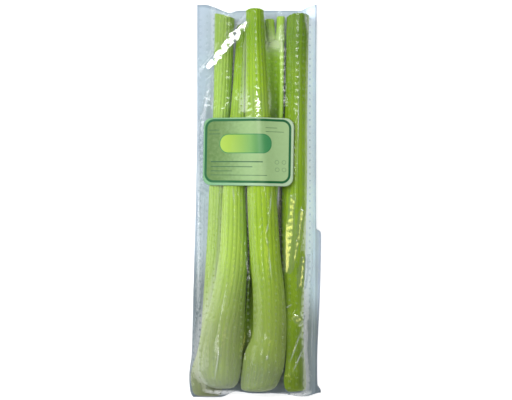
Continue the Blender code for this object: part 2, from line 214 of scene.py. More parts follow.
GRID = 1.0
BACK_HEIGHT = 0.35
BACK_RIPPLE = 0.12

# Creases in the film: (from X, Y), (to X, Y), width, height.
CREASES = (
    ((-48.0, 60.0), (-40.0, 112.0), 2.4, 0.7),
    ((14.8, 12.0), (12.2, -18.0), 0.8, 0.4),
    ((12.2, -18.0), (9.2, -30.0), 0.8, 0.45),
    ((9.2, -30.0), (11.6, -40.0), 0.8, 0.45),
    ((11.6, -40.0), (14.8, -70.0), 0.8, 0.4),
    ((-19.8, 12.0), (-17.6, -4.0), 0.8, 0.3),
    ((46.0, 150.0), (43.8, 171.0), 1.2, 0.6),
    ((50.6, -165.0), (51.4, -30.0), 0.6, 0.3),
    ((-51.0, -90.0), (-49.6, 40.0), 0.6, 0.25),
    ((37.0, 14.0), (39.5, 126.0), 0.6, 0.4),
    ((30.0, -145.0), (42.0, -112.0), 0.9, 0.6),
    ((33.0, -152.0), (44.0, -128.0), 0.9, 0.6),
    ((27.0, -94.0), (33.0, -91.0), 0.9, 0.5),
    ((-36.0, -160.0), (-31.0, -128.0), 0.9, 0.5),
    ((10.0, -140.0), (11.5, -134.0), 1.0, 0.5),
    ((20.0, -8.0), (21.0, 16.0), 1.2, 0.5),
)

# Flat folds stretched over the stalks: (from X, Y, Z), (to X, Y, Z), half of the width.
FOLDS = (
    ((-51.0, 109.0, 6.4), (0.0, 166.0, 26.2), 4.3),
    ((34.6, 16.0, 22.8), (26.4, -74.0, 24.5), 2.4),
    ((44.0, 2.0, 20.6), (28.5, -72.0, 23.2), 2.5),
    ((43.4, -44.0, 18.6), (39.0, -82.0, 18.9), 2.2),
    ((32.0, -101.0, 20.0), (43.0, -107.0, 19.4), 2.8),
)
FOLD_FALL = 5.0  # over which a fold comes down at its sides

# Places where the film is crumpled: (X, Y), how far it reaches across and along, strength.
# Film with less than CALM of it counts as smooth.
FAINT_CRUMPLING = 0.1
CALM = 0.2
CRUMPLES = (
    ((46.0, -110.0), (8.0, 75.0), 0.5),
    ((-50.0, -20.0), (5.0, 200.0), 0.25),
    ((-4.0, 84.0), (18.0, 14.0), 0.85),
    ((-42.0, 84.0), (5.0, 12.0), 0.9),
    ((-25.0, 140.0), (20.0, 18.0), -0.06),
)

# Holes punched in the film, in staggered columns.
PUNCH_COLUMN = 6.1
PUNCH_ROW = 6.0
PUNCH_RADIUS = 0.8
LIP_RADIUS = 0.22
LIP_SIDES = 9
LIP_PROFILE_SIDES = 5
LIP_SLOPE_STEP = 0.8  # over which the film's slope is read at a hole
PUNCHED = (110.0, 350.0)  # width and length over which holes are punched
PUNCH_END = 168.0  # the last hole's place along Y, at either end
PUCKER_REACH = 1.5  # from a hole's middle, how far the film round it is drawn up
PUCKER_HEIGHT = 0.16
CRUMPLED_PUCKERS = 0.62  # added to that where the film is crumpled most

LABEL_SIZE = (80.0, 60.0)
LABEL_CENTRE = (-6.0, 43.4)
LABEL_TURN = -1.0  # degrees
LABEL_CORNER = 7.5
LABEL_THICKNESS = 0.15
LABEL_ABOVE = 0.25  # over the film
LABEL_CELLS = (100, 76)
LABEL_DRAPE = 100.0  # the stiffer sheet bends no tighter than this where it dips
LABEL_FADE = 9.0  # how far past its edges it stiffens the film
LABEL_LINE = ((-0.5, 0.6), (38.2, 28.2), 8.0)  # centre, half size and corner of the printed line
LABEL_LINE_WIDTH = 2.1
LABEL_CIRCLES = ((25.4, -9.0), (31.6, -9.0), (25.8, -15.6), (31.8, -15.6))
LABEL_CIRCLE = (1.7, 0.22)  # radius, half of the line's width
LABEL_RULES = (  # from X, to X, Y, half of the thickness
    (-33.0, 13.0, -9.0, 0.5), (-33.0, 4.0, -13.4, 0.34), (-33.0, -14.0, -17.2, 0.3),
    (-33.0, 17.0, -20.8, 0.24), (-35.0, -26.0, 19.0, 0.26), (-35.0, -25.0, 15.6, 0.26),
    (15.0, 25.0, 21.0, 0.2), (15.0, 31.0, 17.6, 0.2),
)
LABEL_PANEL = ((-2.5, 7.0), (23.0, 8.6), 8.0)  # centre, half size and corner of the blank panel
LABEL_PANEL_FADE = (-26.0, 20.0)  # over which its colour changes
LABEL_PANEL_LINE = 0.7

# Colours of the print, in sRGB. Pairs and lists run from left to right.
LABEL_INK = (6, 92, 46)
# The margin and ground run darker towards the left: partly the print's gradient, partly painted shade.
LABEL_MARGINS_AND_SHADE = ((116, 170, 122), (180, 206, 168))
LABEL_GROUND_AND_SHADE = ((0.0, (88, 122, 58)), (0.4, (138, 172, 112)), (1.0, (162, 194, 136)))
LABEL_PANEL_FIELD = ((164, 196, 70), (60, 140, 84))
LABEL_PANEL_INK = (48, 128, 74)
LABEL_RULE_INK = (52, 96, 62)
LABEL_CIRCLE_INK = (96, 132, 96)

# Tones of the celery, as linear colours.
GROOVE_GREEN = (0.13, 0.27, 0.02)
FIBRE_PALE = (0.48, 0.67, 0.04)
FIBRE_DARK = (0.17, 0.34, 0.03)
BLOTCH_GREEN = (0.44, 0.62, 0.03)
SPECK_BROWN = (0.09, 0.08, 0.02)
JOINT_FLESH = (0.64, 0.74, 0.45)
CUT_FLESH = ((0.46, 0.62, 0.22), (0.62, 0.74, 0.38))
CUT_STRINGS = (0.24, 0.42, 0.06)

# Tones of the back film, as linear colours, and the places in metres over which they change.
BACK_SOLID = 0.8  # the share of it that isn't clear
BACK_BLUES = ((0.44, 0.53, 0.62), (0.51, 0.63, 0.71))
# Painted light: the back film is lightened towards the right, where the stalks' shadow falls, over this
# range along X.
BACK_PAINTED_LIGHT_X = (0.036, 0.05)  # along X
BACK_PAINTED_LIGHT_TINTS = ((1.42, 1.42, 1.42), (1.4, 1.36, 1.34))
# Painted shade: the back film darkens towards the bottom left, where the light falls off.
BACK_PAINTED_SHADE_Y = (-0.05, -0.10)  # along Y
BACK_PAINTED_SHADE_SLANT = 0.35
BACK_PAINTED_SHADE_TONE = (0.16, 0.205, 0.225)
BACK_STRIP = (0.0535, 0.0545)  # along X
BACK_STRIP_TINT = (0.66, 0.66, 0.68)
# Painted shade: the back film turns dark green beneath the stalks, which shows as shade in the gaps between
# them.
BACK_GAP_SHADE_AREA = ((-0.035, 0.036, 0.004), (-0.16, 0.135, 0.015))  # under the stalks, along X and Y
BACK_GAP_SHADE_TONE = (0.07, 0.15, 0.01)

# The front film: how rough its shine is, the share it mirrors seen straight on and along its
# surface, the share more where it lies in layers, and how milky its creases are: that pale colour
# is partly whitened film and partly a painted highlight along the crease lines.
FILM_ROUGHNESS = 0.13
FILM_MIRROR = (0.012, 0.42)
LAYER_MIRROR = 0.11
CREASE_MILK_AND_HIGHLIGHT = 0.3
# Painted highlight: the lips are partly pale and solid, so that they show as light dots.
LIP_PALE_GLINT_SHARE = 0.09  # of a lip that isn't clear

# The soft daylight: colour and strength of the surroundings, then lamps that don't mirror in
# anything: name, place in metres, size, watts.
WORLD_LIGHT = ((0.97, 0.985, 1.0, 1.0), 0.28)
SOFT_LAMPS = (
    ("main", (-1.0, 0.5, 1.3), (0.9, 0.9), 26.5),
    ("fill", (0.9, -0.3, 1.3), (1.2, 1.2), 7.0),
)
# Lamps whose light only shows as glints: name, place in metres, size, watts, colour.
WHITE = (1.0, 1.0, 1.0)
GLARES = (
    ("glare", (-0.53, -0.23, 1.25), (0.22, 0.22), 1.5, WHITE),
    ("sparkle", (0.0, 0.345, 1.25), (0.6, 0.13), 3.0, WHITE),
    ("strip", (0.58, 0.13, 1.25), (0.03, 0.2), 0.6, WHITE),
    ("warm", (0.085, -0.09, 1.25), (0.2, 0.4), 0.8, (1.0, 0.93, 0.26)),
    ("sheen", (-1.0, 0.5, 1.3), (0.9, 0.9), 7.0, WHITE),
    ("side_sheen", (-1.2, -0.15, 0.5), (0.7, 0.8), 4.4, WHITE),
)

CAMERA_AIM = (0.9, 0.9)  # the point that the middle of the picture shows
PIXEL = 0.885  # size of a pixel at the height the camera is focused on
PICTURE_WIDTH = 512
CAMERA_PLANE = 15.0
CAMERA_LENS = 100.0
SENSOR = 36.0
FLOOR_SIZE = 6000.0
FLOOR_DROP = 0.2  # below the bag, so that the two don't meet


def smooth(at, keys, column=1):
    """A smooth curve through keys, read at one place: a cubic that doesn't overshoot them."""
    xs = [key[0] for key in keys]
    ys = [key[column] for key in keys]
    if at <= xs[0]:
        return ys[0]
    if at >= xs[-1]:
        return ys[-1]
    rises = [(ys[i + 1] - ys[i]) / (xs[i + 1] - xs[i]) for i in range(len(xs) - 1)]
    slopes = [rises[0]]
    for before, after in zip(rises, rises[1:]):
        level = before * after <= 0
        slopes.append(0.0 if level else 2 * before * after / (before + after))
    slopes.append(rises[-1])
    i = max(k for k in range(len(rises)) if xs[k] <= at)
    span = xs[i + 1] - xs[i]
    t = (at - xs[i]) / span
    return (
        (1 + 2 * t) * (1 - t) ** 2 * ys[i]
        + t * (1 - t) ** 2 * span * slopes[i]
        + t * t * (3 - 2 * t) * ys[i + 1]
        + t * t * (t - 1) * span * slopes[i + 1]
    )


def linear(colour):
    """An sRGB colour of 0 to 255 as Blender's linear values."""
    shares = [value / 255 for value in colour]
    return tuple(s / 12.92 if s <= 0.04045 else ((s + 0.055) / 1.055) ** 2.4 for s in shares)


def rounding(distance, length):
    """The share of its thickness that an end keeps at a distance from its tip."""
    t = min(max(distance / length, 0.0), 1.0)
    return math.sqrt(max(1 - (1 - t) ** 2, 0.04))


def noise_at(x, y, level):
    """Smooth noise at places on one level of its space."""
    return np.array([noise.noise(Vector((a, b, level))) for a, b in np.broadcast(x, y)])


# Node helpers

def add_node(tree, kind, inputs=None, **settings):
    """A node with its settings. Its inputs are given by name or number, as values or as outputs."""
    made = tree.nodes.new(kind)
    for name, value in settings.items():
        setattr(made, name, value)
    for key, value in (inputs or {}).items():
        if isinstance(value, bpy.types.NodeSocket):
            tree.links.new(value, made.inputs[key])
        else:
            made.inputs[key].default_value = value
    return made


def reckon(tree, operation, *values):
    return add_node(tree, "ShaderNodeMath", dict(enumerate(values)), operation=operation).outputs[0]


def times(tree, *values):
    return reckon(tree, "MULTIPLY", *values)


def plus(tree, *values):
    return reckon(tree, "ADD", *values)


def less(tree, *values):
    return reckon(tree, "SUBTRACT", *values)


def length_of(tree, across, along):
    """The length of a line that goes so far across and along."""
    squares = [reckon(tree, "POWER", value, 2.0) for value in (across, along)]
    return reckon(tree, "SQRT", plus(tree, *squares))


def clear_shader(tree, colour):
    return add_node(tree, "ShaderNodeBsdfTransparent", {0: (*colour, 1.0)}).outputs[0]


def blend(tree, share, below, above):
    """Two shaders mixed by a share."""
    return add_node(tree, "ShaderNodeMixShader", {0: share, 1: below, 2: above}).outputs[0]


def ramp(tree, share, stops, interpolation="LINEAR"):
    """A colour ramp through (place, linear colour) stops."""
    made = add_node(tree, "ShaderNodeValToRGB", {0: share})
    made.color_ramp.interpolation = interpolation
    elements = made.color_ramp.elements
    while len(elements) < len(stops):
        elements.new(0.5)
    for element, (place, colour) in zip(elements, stops):
        element.position = place
        element.color = (*colour, 1.0)
    return made.outputs[0]


def reach(tree, value, low, high, to_low=0.0, to_high=1.0):
    """A value's place between two limits, as a smooth step between two results."""
    inputs = {0: value, 1: low, 2: high, 3: to_low, 4: to_high}
    return add_node(tree, "ShaderNodeMapRange", inputs, interpolation_type="SMOOTHSTEP").outputs[0]


def tint(tree, share, below, above, kind="MIX"):
    """Two colours, as outputs or as linear values, mixed by a share."""
    below, above = [(*colour, 1.0) if isinstance(colour, tuple) else colour for colour in (below, above)]
    inputs = {0: share, 6: below, 7: above}
    return add_node(tree, "ShaderNodeMix", inputs, data_type="RGBA", blend_type=kind).outputs[2]


def grain(tree, vector, scale, detail=3.0, roughness=0.5):
    inputs = {"Vector": vector, "Scale": scale, "Detail": detail, "Roughness": roughness}
    return add_node(tree, "ShaderNodeTexNoise", inputs).outputs[0]


def measure(tree, name):
    """A value kept at the mesh's points."""
    return add_node(tree, "ShaderNodeAttribute", attribute_name=name).outputs["Fac"]


def new_group(name, inputs, output):
    """An empty geometry nodes tree with its inputs, as (name, kind), and the name of its output."""
    tree = bpy.data.node_groups.new(name, "GeometryNodeTree")
    for label, kind in inputs:
        tree.interface.new_socket(name=label, in_out="INPUT", socket_type=f"NodeSocket{kind}")
    tree.interface.new_socket(name=output, in_out="OUTPUT", socket_type="NodeSocketGeometry")
    return tree, tree.nodes.new("NodeGroupInput").outputs


def new_finish(name):
    """An empty material and its tree, with the output node."""
    material = bpy.data.materials.new(name)
    material.use_nodes = True
    tree = material.node_tree
    tree.nodes.clear()
    return material, tree, tree.nodes.new("ShaderNodeOutputMaterial")


# Meshes

def mesh_piece(name, points, faces, attributes=None, materials=(), cut_faces=0):
    """A piece from points in mm. The last cut_faces faces take the second material."""
    mesh = bpy.data.meshes.new(name)
    mesh.from_pydata((np.asarray(points) * MM).tolist(), [], faces)
    for material in materials:
        mesh.materials.append(material)
    if cut_faces:
        which = np.zeros(len(faces), dtype=np.int32)
        which[-cut_faces:] = 1
        mesh.polygons.foreach_set("material_index", which)
    for key, values in (attributes or {}).items():
        layer = mesh.attributes.new(key, "FLOAT", "POINT")
        layer.data.foreach_set("value", np.asarray(values, dtype=np.float32).ravel())
    outward(mesh)
    mesh.shade_smooth()
    return new_object(name, mesh)


def new_object(name, data):
    made = bpy.data.objects.new(name, data)
    bpy.context.scene.collection.objects.link(made)
    return made


def outward(mesh):
    bm = bmesh.new()
    bm.from_mesh(mesh)
    bmesh.ops.recalc_face_normals(bm, faces=bm.faces)
    bm.to_mesh(mesh)
    bm.free()


def baked(piece):
    """Applies a piece's modifiers to its mesh."""
    made = bpy.data.meshes.new_from_object(piece.evaluated_get(bpy.context.evaluated_depsgraph_get()))
    piece.modifiers.clear()
    piece.data = made
    return piece


def finished(piece, node):
    """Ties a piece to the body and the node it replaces."""
    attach(piece, BODY)
    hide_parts(node)
    return piece


# Stalks

def section(along, width, roll, plump=1.0, filled=0.0):
    """A stalk's section at a distance from its base, as points (across, up) round its outline.

    The points run over the outer side, round the right edge, back over the channel and round
    the left edge. Also returned is each point's place across, from -1 to 1. A filled channel
    bulges a little above its edges.
    """
    wrap = math.radians(smooth(along, WRAP))
    flesh, edge = smooth(along, FLESH), smooth(along, EDGE)
    radius = 0.5 / math.sin(min(wrap, math.pi / 2))
    across = np.linspace(-1, 1, ACROSS)
    thickness = edge + (flesh - edge) * np.cos(across * math.pi / 2) ** 2
    pinch = (1 - plump) / 2 * thickness
    bend = np.linspace(-math.pi / 2, math.pi / 2, EDGE_POINTS + 2)[1:-1]
    tip_angle = wrap + edge / 2 / radius * plump * np.cos(bend)
    tip_inset = edge / 2 + edge / 2 * plump * np.sin(bend)
    angles = np.concatenate([wrap * across, tip_angle, wrap * across[::-1], -tip_angle[::-1]])
    insets = np.concatenate([pinch, tip_inset, (thickness - pinch)[::-1], tip_inset[::-1]])
    points = np.stack([(radius - insets) * np.sin(angles), (radius - insets) * np.cos(angles)], axis=1)
    channel = slice(ACROSS + EDGE_POINTS, 2 * ACROSS + EDGE_POINTS)
    level = (radius - edge) * math.cos(wrap) - JOINT_BULGE * np.cos(across * math.pi / 2)
    points[channel, 1] += filled * (level - points[channel, 1])
    turn = math.radians(roll)
    points = points @ np.array([[math.cos(turn), -math.sin(turn)], [math.sin(turn), math.cos(turn)]])
    points *= width / np.ptp(points[:, 0])
    points -= points.min(axis=0)
    ones = np.ones(EDGE_POINTS)
    return points, np.concatenate([across, ones, across[::-1], -ones])


def section_at(stalk, y, plump=1.0):
    """The stalk's section at a place along Y, as points (X, Z), and their places across."""
    left, right = smooth(y, stalk["outline"], 1), smooth(y, stalk["outline"], 2)
    filled = smooth(y, stalk.get("joint", NO_JOINT))
    along = y - stalk["outline"][0][0]
    points, across = section(along, right - left, smooth(y, stalk["roll"]), plump, filled)
    return points + [left, smooth(y, stalk["lift"])], across


def end_cap(first):
    """The faces that close one end: strips across the wall, and one face at each edge."""
    half = ACROSS + EDGE_POINTS
    faces = []
    for i in range(ACROSS - 1):
        facing = half + ACROSS - 1 - i
        faces.append((first + i, first + i + 1, first + facing - 1, first + facing))
    faces.append(tuple(first + i for i in range(ACROSS - 1, half + 1)))
    faces.append(tuple(first + i % (2 * half) for i in range(half + ACROSS - 1, 2 * half + 1)))
    return faces


def tube_faces(rings, count):
    """The faces of a tube through rings of count points each."""
    ring = np.arange(count)
    after = (ring + 1) % count
    start = (np.arange(rings - 1) * count)[:, None]
    faces = np.stack([start + ring, start + after, start + count + after, start + count + ring], axis=2)
    return faces.reshape(-1, 4).tolist()


def skin_values(**lists):
    """What the ribs and the skin's colours follow at each point, from lists with an entry to a ring."""
    values = {key: np.concatenate(rings) for key, rings in lists.items()}
    values["rib_depth"] *= MM
    return values


def stalk_piece(name, stalk, skin, cut):
    """A stalk's closed mesh."""
    start, end = stalk["outline"][0][0], stalk["outline"][-1][0]
    length = end - start
    steps = np.linspace(0, 1, STATIONS)
    steps = (1 - END_BUNCHING) * steps + END_BUNCHING * (0.5 - 0.5 * np.cos(math.pi * steps))
    count = 2 * (ACROSS + EDGE_POINTS)
    points, across, along, depth, pale = [], [], [], [], []
    outer = np.concatenate([np.ones(ACROSS), np.zeros(count - ACROSS)])
    for step in steps:
        y = start + length * step
        top = stalk.get("top_round", TOP_ROUND)
        plump = min(rounding(y - start, BASE_ROUND), rounding(end - y + TOP_ROUND / 2, top))
        ring, places = section_at(stalk, y, plump)
        side = ring[:, 0] - ring[:, 0].mean()
        arc = stalk.get("top_arc", TOP_ARC) * np.abs(side / side.max()) ** 3
        lean = step**LEAN_POWER * (stalk["slant"] * side - arc)
        points.append(np.column_stack([ring[:, 0], y + lean, ring[:, 1]]))
        across.append(places)
        along.append(np.full(count, step))
        depth.append(outer * smooth(y - start, RIB_DEPTH) * (1 - np.abs(places) ** 10))
        rim = EDGE_PALE * np.abs(places) ** 6 * smooth(step, EDGE_PALE_START)
        pale.append((1 - outer) * np.maximum(rim, smooth(y, stalk.get("joint", NO_JOINT))))
    cap = end_cap((STATIONS - 1) * count)
    faces = tube_faces(STATIONS, count) + end_cap(0) + cap
    values = skin_values(across=across, along=along, outer=[outer] * STATIONS, pale=pale, rib_depth=depth)
    piece = mesh_piece(name, np.concatenate(points), faces, values, (skin, cut), len(cap))
    wander(piece, stalk["seed"])
    ribbed(piece, stalk["ribs"], stalk["seed"])
    return piece


def wander(piece, seed):
    """Moves the skin a little in and out, as a grown thing's surface does."""
    points = piece.data.vertices
    places = np.empty(len(points) * 3, dtype=np.float32)
    normals = np.empty_like(places)
    points.foreach_get("co", places)
    points.foreach_get("normal", normals)
    offset = Vector((17.0 * seed, 31.0 * seed, 7.0 * seed))
    stretched = places.reshape(-1, 3) / MM / WAVER_LENGTH * (1.0, 0.45, 1.0)
    shifts = np.array([
        noise.noise(place + offset) + 0.35 * noise.noise(3.1 * place - offset)
        for place in map(Vector, stretched)
    ])
    drop = WAVER * MM * (0.5 + 0.5 * shifts)
    points.foreach_set("co", (places - (normals.reshape(-1, 3) * drop[:, None]).ravel()).astype(np.float32))
    piece.data.update()


def kept(tree, name, kind="FLOAT"):
    """A value kept at the mesh's points, in geometry nodes."""
    made = add_node(tree, "GeometryNodeInputNamedAttribute", {"Name": name}, data_type=kind)
    return made.outputs["Attribute"]


def rib_tree():
    """Geometry nodes that press grooves into a stalk's outer side, which leaves ribs between them."""
    tree, given = new_group("celery_ribs", (
        ("Stalk", "Geometry"), ("Ribs", "Int"), ("Seed", "Float"), ("Waver", "Float"), ("Crest", "Float"),
    ), "Stalk")
    across, along, depth = kept(tree, "across"), kept(tree, "along"), kept(tree, "rib_depth")
    bends = {0: times(tree, across, RIB_BENDS[0]), 1: times(tree, along, RIB_BENDS[1]), 2: given["Seed"]}
    place = add_node(tree, "ShaderNodeCombineXYZ", bends).outputs[0]
    waver = add_node(tree, "ShaderNodeTexNoise", {"Vector": place, "Scale": 1.0, "Detail": 2.0}).outputs[0]
    waver = times(tree, less(tree, waver, 0.5), given["Waver"])
    share = times(tree, plus(tree, plus(tree, across, 1.0), waver), 0.5)
    turn = times(tree, times(tree, share, given["Ribs"]), math.pi)
    wave = reckon(tree, "ABSOLUTE", reckon(tree, "SINE", turn))
    crest = reckon(tree, "POWER", wave, given["Crest"])
    drop = times(tree, less(tree, crest, 1.0), depth)
    normal = tree.nodes.new("GeometryNodeInputNormal").outputs[0]
    offset = add_node(tree, "ShaderNodeVectorMath", {0: normal, "Scale": drop}, operation="SCALE").outputs[0]
    inputs = {"Geometry": given["Stalk"], "Name": "rib", "Value": crest}
    stored = add_node(tree, "GeometryNodeStoreNamedAttribute", inputs, data_type="FLOAT").outputs[0]
    moved = add_node(tree, "GeometryNodeSetPosition", {"Geometry": stored, "Offset": offset}).outputs[0]
    result = tree.nodes.new("NodeGroupOutput")
    tree.links.new(moved, result.inputs[0])
    return tree


def set_inputs(modifier, values):
    """Sets a modifier's inputs by the identifiers of the sockets that have those names."""
    for item in modifier.node_group.interface.items_tree:
        if item.in_out == "INPUT" and item.name in values:
            modifier[item.identifier] = values[item.name]


def ribbed(piece, ribs, seed):
    """Presses the grooves between ribs into a piece."""
    tree = bpy.data.node_groups.get("celery_ribs") or rib_tree()
    modifier = piece.modifiers.new("ribs", "NODES")
    modifier.node_group = tree
    set_inputs(modifier, {"Ribs": ribs, "Seed": float(seed), "Waver": RIB_WAVER, "Crest": RIB_CREST})
    return baked(piece)


def stub_piece(name, foot, tip, diameter, skin, cut, seed):
    """A leaf stem's stub: round, ribbed, swollen at its foot and cut off flat."""
    foot, tip = Vector(foot), Vector(tip)
    angles = np.linspace(0, 2 * math.pi, STUB_SIDES, endpoint=False)
    across = np.abs(np.linspace(-1, 1, STUB_SIDES, endpoint=False))
    points, places, along, depth, pale = [], [], [], [], []
    for step in np.linspace(0, 1, STUB_STATIONS):
        centre = foot.lerp(tip, step)
        radius = diameter / 2 * smooth(step, STUB_SHAPE)
        xs, zs = centre.x + radius * np.cos(angles), centre.z + radius * np.sin(angles)
        ring = np.ones(STUB_SIDES)
        points.append(np.column_stack([xs, ring * centre.y, zs]))
        places.append(across)
        along.append(ring * (STUB_SKIN + (1 - STUB_SKIN) * step))
        depth.append(ring * (STUB_RIB_DEPTH * smooth(step, STUB_RIB_START)))
        pale.append(ring * min(max(1.3 - step * 1.5, 0.12), 1.0))
    last = (STUB_STATIONS - 1) * STUB_SIDES
    faces = tube_faces(STUB_STATIONS, STUB_SIDES)
    faces.append(tuple(range(STUB_SIDES)))
    faces.append(tuple(last + i for i in range(STUB_SIDES)))
    outer = [np.ones(STUB_SIDES)] * STUB_STATIONS
    values = skin_values(across=places, along=along, outer=outer, pale=pale, rib_depth=depth)
    piece = mesh_piece(name, np.concatenate(points), faces, values, (skin, cut), 1)
    return ribbed(piece, STUB_RIBS, seed)


# Film

def bag_outline(level, x):
    """The place along Y of a point of the film, whose ends are shaped: level is the row it is on."""
    start, end = BAG_SIDES[0][0], BAG_SIDES[-1][0]
    y = level
    y += max(0.0, 1 - (level - start) / END_BLEND) * (smooth(x, BAG_END) - BAG_END[0][1])
    y += max(0.0, 1 - (end - level) / END_BLEND) * (smooth(x, BAG_MOUTH) - end)
    return y


def skyline(xs, y):
    """The least height of the film over the stalks at each X of a grid, at a place along Y."""
    highest = np.full(len(xs), MARGIN_HEIGHT)
    for stalk in STALKS.values():
        start, end = stalk["outline"][0][0], stalk["outline"][-1][0]
        drop = END_SLOPE * max(start - y - END_SLACK, 0.0)
        points, _ = section_at(stalk, min(max(y, start + BASE_ROUNDING), end))
        for x, z in points[::2]:
            apart = np.abs(xs - x)
            near = apart < CLEARANCE + GRID
            lift = np.sqrt(np.maximum((CLEARANCE + GRID) ** 2 - apart[near] ** 2, 0.0)) - GRID
            highest[near] = np.maximum(highest[near], z + lift - drop)
    return highest


def draped(xs, heights, radius):
    """The heights as a film takes them up that bends no tighter than a radius between stalks."""
    apart = np.abs(xs[:, None] - xs[None, :])
    near = apart < radius
    arc = np.sqrt(np.where(near, radius**2 - apart**2, 0.0))
    rolling = np.where(near, heights[None, :] + arc, -np.inf).max(axis=1)
    return np.where(near, rolling[None, :] - arc, np.inf).min(axis=1)


def label_hold(xs, y):
    """How firmly the label stiffens the film at each X of a grid: 1 under it, fading out round it."""
    shares = []
    for place, middle, size in ((xs, LABEL_CENTRE[0], LABEL_SIZE[0]), (y, LABEL_CENTRE[1], LABEL_SIZE[1])):
        shares.append(np.clip((size / 2 + LABEL_FADE - np.abs(place - middle)) / LABEL_FADE, 0, 1))
    hold = shares[0] * shares[1]
    return hold * hold * (3 - 2 * hold)


def blurred(heights, width):
    """The heights smoothed both ways by a bell curve."""
    span = np.arange(-int(3 * width), int(3 * width) + 1)
    bell = np.exp(-0.5 * (span / width) ** 2)
    bell /= bell.sum()
    for axis in (0, 1):
        pad = [(0, 0), (0, 0)]
        pad[axis] = (len(span) // 2, len(span) // 2)
        padded = np.pad(heights, pad, mode="edge")
        heights = np.apply_along_axis(np.convolve, axis, padded, bell, mode="valid")
    return heights


class Film:
    """The height of the film over the stalks."""

    def __init__(self):
        self.xs = np.arange(-85.0, 86.0, GRID)
        self.ys = np.arange(-180.0, 182.0, GRID)
        rows = []
        for y in self.ys:
            row = draped(self.xs, skyline(self.xs, y), DRAPE)
            stuck = label_hold(self.xs, y)
            rows.append(row + stuck * (draped(self.xs, row, LABEL_DRAPE) - row) if stuck.any() else row)
        self.heights = blurred(np.array(rows), SMOOTHING)

    def at(self, x, y):
        """The height at points, without creases."""
        u = np.clip((x - self.xs[0]) / GRID, 0, len(self.xs) - 1.001)
        v = np.clip((y - self.ys[0]) / GRID, 0, len(self.ys) - 1.001)
        i, j = u.astype(int), v.astype(int)
        u, v = u - i, v - j
        near = self.heights[j, i] * (1 - u) + self.heights[j, i + 1] * u
        far = self.heights[j + 1, i] * (1 - u) + self.heights[j + 1, i + 1] * u
        return near * (1 - v) + far * v


def beside(x, y, start, end):
    """Points beside a line: their share of the way along it, the same held within the line's
    ends, and how far they are from it.
    """
    along = np.array(end[:2]) - np.array(start[:2])
    t = ((x - start[0]) * along[0] + (y - start[1]) * along[1]) / (along @ along)
    held = np.clip(t, 0, 1)
    return t, held, np.hypot(x - start[0] - held * along[0], y - start[1] - held * along[1])


def crease_share(x, y, start, end, width):
    """How far points are on a crease: 1 on its line, falling off to the sides and at its ends."""
    _, held, apart = beside(x, y, start, end)
    return np.exp(-((apart / width) ** 2)) * np.sin(np.pi * np.clip(held, 0.02, 0.98)) ** 0.5


def folded(x, y, z):
    """The film's height where it lies in flat folds, and how firmly: each lifts it to a straight band."""
    layers = np.zeros(len(x))
    for start, end, half in FOLDS:
        t, held, apart = beside(x, y, start, end)
        ends = np.sin(np.pi / 2 * np.clip(np.minimum(t, 1 - t) * 6, 0, 1)) ** 2
        ragged = noise_at(held * 7.0, half, 2.0) + 0.6 * noise_at(held * 23.0, half, 5.0)
        width = half * (0.12 + 0.88 * np.sin(np.pi * held)) * (1 + 0.45 * ragged)
        share = np.clip((width + FOLD_FALL - apart) / FOLD_FALL, 0, 1)
        share = share * share * (3 - 2 * share) * ends
        z = z + share * np.maximum(start[2] + held * (end[2] - start[2]) - z, 0.0)
        layers = np.maximum(layers, np.clip(share * 3 - 2, 0, 1))
    return z, layers


def crinkles(x, y):
    """Fine crumpling of the film: strong at the places listed, faint elsewhere."""
    rough = noise_at(x * 0.16, y * 0.06, 3.0) + 0.5 * noise_at(x * 0.42, y * 0.3, 9.0)
    strength = np.full(len(x), FAINT_CRUMPLING)
    for (middle_x, middle_y), (reach_x, reach_y), amount in CRUMPLES:
        strength += amount * np.exp(-(((x - middle_x) / reach_x) ** 2) - ((y - middle_y) / reach_y) ** 2)
    return (0.5 - np.abs(rough)) * strength, strength


def puckers(x, y):
    """How far the film is drawn up at points: 1 at the middle of a punched hole, nothing between them."""
    nearest = np.full(len(x), np.inf)
    for shift in (0.0, 0.5):
        u = x / (2 * PUNCH_COLUMN) - shift
        v = y / PUNCH_ROW - shift
        apart = np.hypot((u - np.round(u)) * 2 * PUNCH_COLUMN, (v - np.round(v)) * PUNCH_ROW)
        nearest = np.minimum(nearest, apart)
    return np.exp(-((nearest / PUCKER_REACH) ** 2))


def film_surface(film, x, y):
    """The height of the film with its creases, how creased it is and how far it lies in layers."""
    z, layers = folded(x, y, film.at(x, y))
    creased = np.zeros(len(x))
    for start, end, width, height in CREASES:
        share = crease_share(x, y, start, end, width)
        z += share * height
        creased = np.maximum(creased, share)
    held = np.clip(z - MARGIN_HEIGHT, 0, 1)
    rough, strength = crinkles(x, y)
    layers = np.maximum(layers, np.clip((strength - CALM) * 1.2, 0, 0.7))
    z += rough * (0.35 + 0.65 * held) * (1 - 0.8 * layers * (strength < CALM))
    z += puckers(x, y) * (PUCKER_HEIGHT + CRUMPLED_PUCKERS * np.clip(strength - CALM, 0, 1))
    return z, creased, layers


def film_sheet(name, step, height, material):
    """A sheet of film in the bag's outline, as a closed shell. height gives Z and its attributes."""
    start, end = BAG_SIDES[0][0], BAG_SIDES[-1][0]
    levels = np.linspace(start, end, int((end - start) / step) + 1)
    columns = int((BAG_SIDES[0][2] - BAG_SIDES[0][1]) / step) + 1
    rows = []
    for level in levels:
        left, right = smooth(level, BAG_SIDES, 1), smooth(level, BAG_SIDES, 2)
        strip = right + smooth(level, SEAM_STRIP) * np.array([0.5, 1.0])
        across = np.concatenate([np.linspace(left, right, columns), strip])
        rows.append([(x, bag_outline(level, x)) for x in across])
    flat = np.array(rows).reshape(-1, 2)
    z, values = height(flat[:, 0], flat[:, 1])
    values["flat_x"], values["flat_y"] = flat[:, 0], flat[:, 1]
    return thin_sheet(name, np.column_stack([flat, z]), columns + 2, values, material, FILM)


